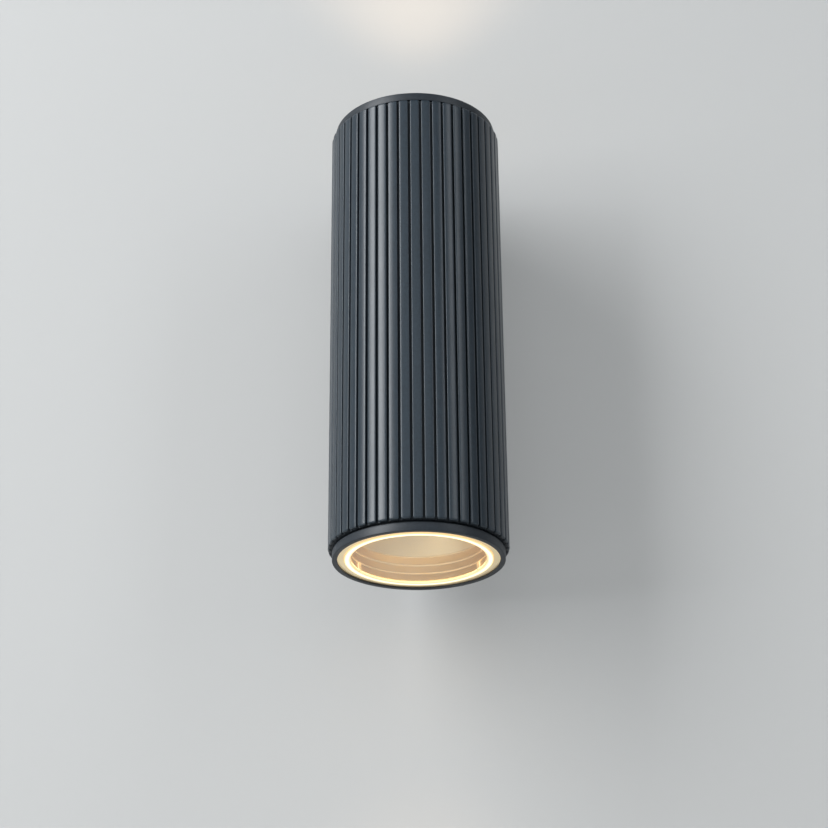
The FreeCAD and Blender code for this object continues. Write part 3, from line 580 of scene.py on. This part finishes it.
LENS_R = 36.85 * MM
LENS_LOW = 0.5 * MM
RIM_INNER_R = 33.7 * MM
RIM_HIGH = 3.0 * MM
RIM_EDGE = 0.3 * MM
DISC_LOW = 0.9 * MM
DISC_HIGH = 2.9 * MM
DISC_STEP = 0.4 * MM
FLAT_EDGE = 0.3 * MM
LEG_TURNS = (-90, 30, 150)
LEG_SIZE = (1.0 * MM, 1.6 * MM, 4.6 * MM)
LEG_TOP = 7.1 * MM
LEG_INSET = 0.2 * MM
HOOK_SIZE = (1.8 * MM, 1.6 * MM, 1.0 * MM)
HOOK_TOP = LEG_TOP - 0.4 * MM

clear, tree, shader = plain_material("clear_lens", (1.0, 0.985, 0.95), 0.02)
shader.inputs["IOR"].default_value = 1.49
shader.inputs["Transmission Weight"].default_value = 1.0
haze = between(tree, noise(tree, 90, 3), 0, 0.05)
tree.links.new(haze.outputs["Result"], shader.inputs["Roughness"])

glow, tree, shader = plain_material("glowing_rim", (0.85, 0.74, 0.52), 0.25)
band = colour_ramp(
    tree, off_axis(tree, RIM_INNER_R, LENS_R),
    (0, (0.30, 0.17, 0.06)), (0.18, (0.62, 0.40, 0.16)), (0.36, (1.0, 0.90, 0.60)),
    (0.74, (1.0, 0.92, 0.62)), (0.90, (0.80, 0.55, 0.24)), (1, (0.55, 0.34, 0.13)))
tree.links.new(band, shader.inputs["Emission Color"])
shader.inputs["Emission Strength"].default_value = 1.0

# Corners 3 to 6 are the rim's. FLAT_EDGE keeps the disc's shading flat beside its steps.
half_lens = [
    (0, DISC_LOW), (RIM_INNER_R - FLAT_EDGE, DISC_LOW), (RIM_INNER_R, DISC_LOW),
    (RIM_INNER_R + DISC_STEP, LENS_LOW), (LENS_R, LENS_LOW), (LENS_R, RIM_HIGH),
    (RIM_INNER_R, RIM_HIGH), (RIM_INNER_R - DISC_STEP, DISC_HIGH),
    (RIM_INNER_R - DISC_STEP - FLAT_EDGE, DISC_HIGH), (0, DISC_HIGH)]
for end in ("bottom", "top"):
    bm = turned(half_lens, (3, 4, 5, 6), RIM_EDGE, closed=False)
    for face in bm.faces:
        if reach(face.calc_center_median()) > RIM_INNER_R:
            face.material_index = 1
    for turn in LEG_TURNS:
        for size, top in ((LEG_SIZE, LEG_TOP), (HOOK_SIZE, HOOK_TOP)):
            centre = (RIM_INNER_R + LEG_INSET + size[0] / 2, AXIS.y, RIM_Z + top - size[2] / 2)
            made = bmesh.ops.create_cube(bm, size=1.0)["verts"]
            bmesh.ops.scale(bm, verts=made, vec=size)
            bmesh.ops.translate(bm, verts=made, vec=centre)
            bmesh.ops.rotate(bm, verts=made, cent=AXIS,
                             matrix=Matrix.Rotation(math.radians(turn), 3, "Z"))
            # The legs and hooks take the rim's glow too, a painted glow for the lamp's light caught
            # in them.
            for face in {f for v in made for f in v.link_faces}:
                face.material_index = 1
    at_end(bm, end)
    lens = as_piece(bm, end + "_clear_lens", clear, glow)
    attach(lens, end + "_optic")
    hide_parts(end + "_lens")


# End rings: turned and bored aluminium rings with a finer coat than the tube's. They screw onto
# its necks, and the lip of each one holds the reflector and the lens in place.

RING_R = (ring_high.x - ring_low.x) / 2
RING_OPENING_R = 40.33 * MM
RING_BORE_R = 41.18 * MM
RING_LIP = 0.9 * MM
RING_EDGE = 0.3 * MM
RING_COLOUR = (0.011, 0.016, 0.022)

ring_coat = powder_coat("anthracite_ring_coat", RING_COLOUR, grain=0.12, roughness=0.46)
half_ring = [(RING_OPENING_R, 0), (RING_R, 0), (RING_R, RING_HEIGHT),
             (RING_BORE_R, RING_HEIGHT), (RING_BORE_R, RING_LIP), (RING_OPENING_R, RING_LIP)]
for end in ("bottom", "top"):
    bm = turned(half_ring, (0, 1, 2), RING_EDGE)
    at_end(bm, end)
    ring = as_piece(bm, end + "_end_ring", ring_coat)
    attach(ring, end + "_ring")
    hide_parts(end + "_bezel")
